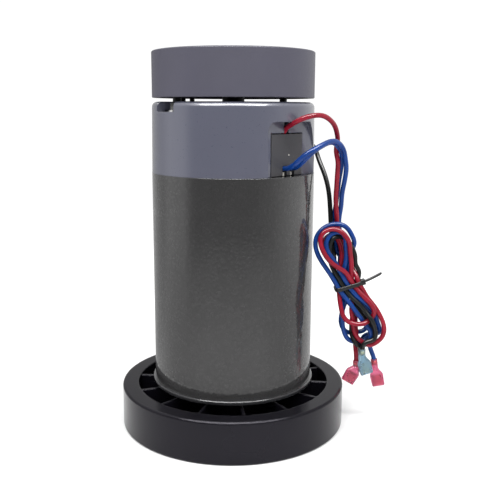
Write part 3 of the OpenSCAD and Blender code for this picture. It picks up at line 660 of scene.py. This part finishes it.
def tie_tail(bm, points):
    """The cut end of the strap through points of the hank's frame, tapered at its tip."""
    rings = []
    for k, (side, along, depth) in enumerate(points):
        taper = 0.45 if k == len(points) - 1 else 1
        w, t = TAIL_W / 2 * taper, TAIL_T / 2
        rings.append([in_hank(side, along + a, depth + b) for a, b in ((-t, -w), (t, -w), (t, w), (-t, w))])
    skin(bm, rings)


def tie_head(bm):
    """The ratchet box: a block with a slot through which the tail comes out."""
    near, far, slot_end = 8.0, 10.8, 9.8
    corners = [(-1.7, -2.0), (1.7, -2.0), (1.7, 2.0), (-1.7, 2.0)]
    block = [[in_hank(side, along, depth - HEAD_FRONT) for along, depth in corners] for side in (near, far)]
    slot = [[in_hank(side, along * 0.5, depth * 0.7 - HEAD_FRONT) for along, depth in corners]
            for side in (far, slot_end)]
    skin(bm, block + slot)


bm = bmesh.new()
tie_band(bm)
tie_tail(bm, [(10.2, 0.0, -2.6), (12.5, 0.15, -2.4), (15.5, 0.45, -1.9), (18.5, 0.8, -1.3),
              (21.2, 1.2, -0.7), (22.5, 1.4, -0.4)])
tie_head(bm)
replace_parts(mesh_piece("tie", bm, "tie_nylon", soften=0.25 * MM), "cable_tie")


# ---------------------------------------------------------------- the leads

lines = settle([smooth_line(wire_path(wire)) for wire in WIRES.values()])
for (name, wire), line in zip(WIRES.items(), lines):
    piece = wire_curve(name, line, MATERIALS[wire["finish"]])
    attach(piece, "stator")
    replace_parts(piece, wire["node"], "lead_hank")


# ---------------------------------------------------------------- studio, with sheets that paint reflections and highlights

# Painted reflections: the grey that the object reflects from all round it, and from the ground close to it,
# as azimuth and tone, on sheets seen only in reflections. Azimuths are in degrees, 0 in front of the motor
# and 90 on its right
REFLECTED_WALL_TONES = [(-180, 0.5), (-150, 0.45), (-125, 0.38), (-112, 0.4), (-102, 0.7), (-95, 0.85), (-70, 0.85),
              (-58, 0.15), (-50, 0.04), (18, 0.03), (30, 0.08), (42, 0.18), (55, 0.35), (70, 0.65),
              (85, 0.85), (120, 0.95), (180, 0.6)]
REFLECTED_GROUND_TONES = [(-180, 0.5), (-125, 0.38), (-100, 0.6), (-80, 0.62), (-60, 0.7), (-35, 0.9), (35, 0.9),
                (50, 0.75), (70, 0.55), (110, 0.6), (180, 0.55)]
# From this radius on, and over this distance, the painted reflection of the ground takes on the walls' grey
GROUND_FADE_START = 0.22
GROUND_FADE = 0.6
FLOOR_WHITE = (0.86, 0.86, 0.86)
UNLIT = (0.02, 0.02, 0.02)


def stage_piece(name, rows, mat):
    """A studio sheet through rows of points, each row a line of its own."""
    bm = bmesh.new()
    grid = [[bm.verts.new(p) for p in row] for row in rows]
    for a, b in zip(grid, grid[1:]):
        for k in range(len(a) - 1):
            bm.faces.new((a[k], b[k], b[k + 1], a[k + 1]))
    data = bpy.data.meshes.new(name)
    bm.to_mesh(data)
    bm.free()
    data.materials.append(mat)
    piece = bpy.data.objects.new(name, data)
    bpy.context.scene.collection.objects.link(piece)
    return piece


def mirrored_piece(name, rows, mat):
    """A studio sheet that shows only as a reflection on the object."""
    piece = stage_piece(name, rows, mat)
    piece.visible_camera = False
    piece.visible_diffuse = False
    piece.visible_shadow = False
    piece.visible_transmission = False


def ring_rows(near, far, low, high, cuts=6):
    """Rows of points all round the object, each from the near radius and low height outwards."""
    rows = []
    for azimuth in range(-180, 181, 4):
        turn = math.radians(azimuth)
        steps = [(near + (far - near) * j / cuts, low + (high - low) * j / cuts) for j in range(cuts + 1)]
        rows.append([(r * math.sin(turn), -r * math.cos(turn), z) for r, z in steps])
    return rows


def tone_ramp(graph, stops, share):
    """A grey ramp over a share of the full turn, its stops given as azimuths."""
    ramp = graph.add("ShaderNodeValToRGB")
    points = ramp.color_ramp.elements
    while len(points) < len(stops):
        points.new(0.5)
    for point, (azimuth, tone) in zip(points, stops):
        point.position = (azimuth + 180) / 360
        point.color = (tone, tone, tone, 1)
    graph.link(share, ramp.inputs["Fac"])
    return ramp.outputs["Color"]


def reflection_card_material(name, ground):
    """Painted reflection: glows in a grey that changes round the object and, on the ground, with the
    distance, on a sheet seen only in reflections.
    """
    mat = principled(name, UNLIT, 0.9, Specular_IOR_Level=0.0, Emission_Strength=1.0)
    graph = Graph(mat)
    place = graph.add("ShaderNodeNewGeometry")
    parts = graph.add("ShaderNodeSeparateXYZ")
    graph.link(place.outputs["Position"], parts.inputs[0])
    right = parts.outputs["X"]
    front = graph.calc("MULTIPLY", parts.outputs["Y"], -1.0)
    turn = graph.calc("ARCTAN2", right, front)
    share = graph.calc("ADD", graph.calc("DIVIDE", turn, 2 * math.pi), 0.5)
    tone = tone_ramp(graph, REFLECTED_WALL_TONES, share)
    if ground:
        squares = [graph.calc("MULTIPLY", side, side) for side in (right, front)]
        radius = graph.calc("SQRT", graph.calc("ADD", *squares))
        far = graph.calc("DIVIDE", graph.calc("SUBTRACT", radius, GROUND_FADE_START), GROUND_FADE)
        tone = graph.mix(far, tone_ramp(graph, REFLECTED_GROUND_TONES, share), tone)
    graph.link(tone, graph.shader.inputs["Emission Color"])
    return mat


def floor_material():
    mat = principled("floor", FLOOR_WHITE, 0.7)
    graph = Graph(mat)
    graph.finish(graph.mix(graph.noise(8, detail=2), shade(FLOOR_WHITE, 0.99), FLOOR_WHITE))
    return mat


def highlight_glow_material():
    """Painted highlight: a bright, even glow on a sheet seen only in reflections, for the thin highlights
    along the edges.
    """
    mat = principled("painted_highlight_glow", UNLIT, 0.9, Specular_IOR_Level=0.0, Emission_Color=(1, 1, 1, 1),
                     Emission_Strength=24.0)
    graph = Graph(mat)
    graph.finish(graph.mix(graph.noise(5, detail=1), UNLIT, shade(UNLIT, 1.25)))
    return mat


def soft_light(name, place, target, size, watts):
    data = bpy.data.lights.new(name, "AREA")
    data.shape = "RECTANGLE"
    data.size, data.size_y = size
    data.energy = watts
    light = bpy.data.objects.new(name, data)
    light.location = place
    light.rotation_euler = (Vector(target) - Vector(place)).to_track_quat("-Z", "Y").to_euler()
    bpy.context.scene.collection.objects.link(light)


def white_world(strength):
    """White light from all round. It isn't sampled as a lamp, so reflections find the sheets."""
    world = bpy.data.worlds.new("studio")
    world.use_nodes = True
    background = world.node_tree.nodes["Background"]
    background.inputs["Color"].default_value = (1, 1, 1, 1)
    background.inputs["Strength"].default_value = strength
    world.cycles.sampling_method = "NONE"
    bpy.context.scene.world = world


stage_piece("floor", ring_rows(near=0.0005, far=0.985, low=0, high=0), floor_material())
# Sheets seen only in reflections, which paint the reflections of walls and ground on the object
mirrored_piece("painted_reflection_walls", ring_rows(near=1.0, far=1.0, low=0.003, high=0.62),
               reflection_card_material("painted_reflection_walls", ground=False))
mirrored_piece("painted_reflection_ground", ring_rows(near=0.13, far=0.999, low=0.002, high=0.002),
               reflection_card_material("painted_reflection_ground", ground=True))
# A glowing sheet seen only in reflections, which paints the thin highlights along the edges
mirrored_piece("painted_highlight_glow", [[(x, y, 1.15) for x in (-0.9, 0, 0.9)] for y in (-0.95, -0.65, -0.35)],
               highlight_glow_material())
white_world(1.05)
soft_light("overhead", place=(0, -0.3, 1.25), target=(0, -0.1, 0.1), size=(2.2, 1.8), watts=9)
soft_light("strip", place=(0, -0.62, 1.2), target=(0, -0.05, 0.12), size=(1.8, 0.2), watts=12)
bpy.context.scene.view_settings.view_transform = "Standard"
